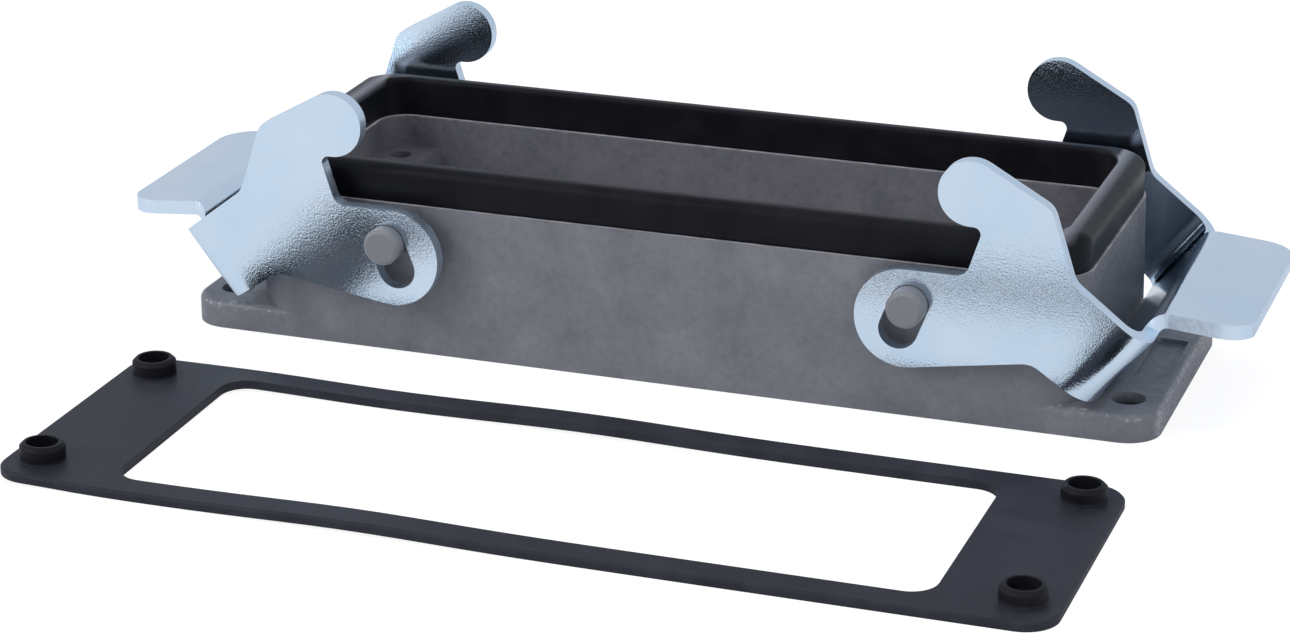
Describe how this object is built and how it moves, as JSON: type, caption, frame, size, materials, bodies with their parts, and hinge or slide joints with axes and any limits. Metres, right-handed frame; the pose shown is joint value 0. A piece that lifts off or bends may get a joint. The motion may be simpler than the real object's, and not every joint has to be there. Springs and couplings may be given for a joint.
{
  "type": "bulkhead housing of a heavy duty rectangular connector",
  "caption": "Rectangular die-cast bulkhead connector housing with a rubber rim seal, a folded locking lever at each end and its flat flange gasket lying in front.",
  "frame": {"origin": "centre of the flange's four-hole pattern, on the flange's underside, which is the panel's face", "axes": "+X along the housing's length, towards the right-hand lever in the picture; +Y across it, away from the loose gasket; +Z out of the panel"},
  "size_m": [0.1622, 0.1118, 0.0378],
  "materials": {
    "housing_paint": "hammered grey powder coat on the casting",
    "seal_rubber": "smooth black rubber",
    "lever_zinc": "bright bluish zinc plating on rolled sheet",
    "gasket_rubber": "matt black rubber"
  },
  "bodies": {
    "base": {"housing": "housing_paint", "rim_seal": "seal_rubber", "flange_gasket": "gasket_rubber"},
    "left_lever": {"lever_left": "lever_zinc"},
    "right_lever": {"lever_right": "lever_zinc"}
  },
  "joints": [
    {"name": "right_lever_turn", "type": "hinge", "parent": "base", "child": "right_lever", "pos_m": [0.0372, 0, 0.0173], "axis": [0, -1, 0], "range_deg": [0, 38]},
    {"name": "left_lever_turn", "type": "hinge", "parent": "base", "child": "left_lever", "pos_m": [-0.0372, 0, 0.0173], "axis": [0, 1, 0], "range_deg": [0, 38]}
  ]
}
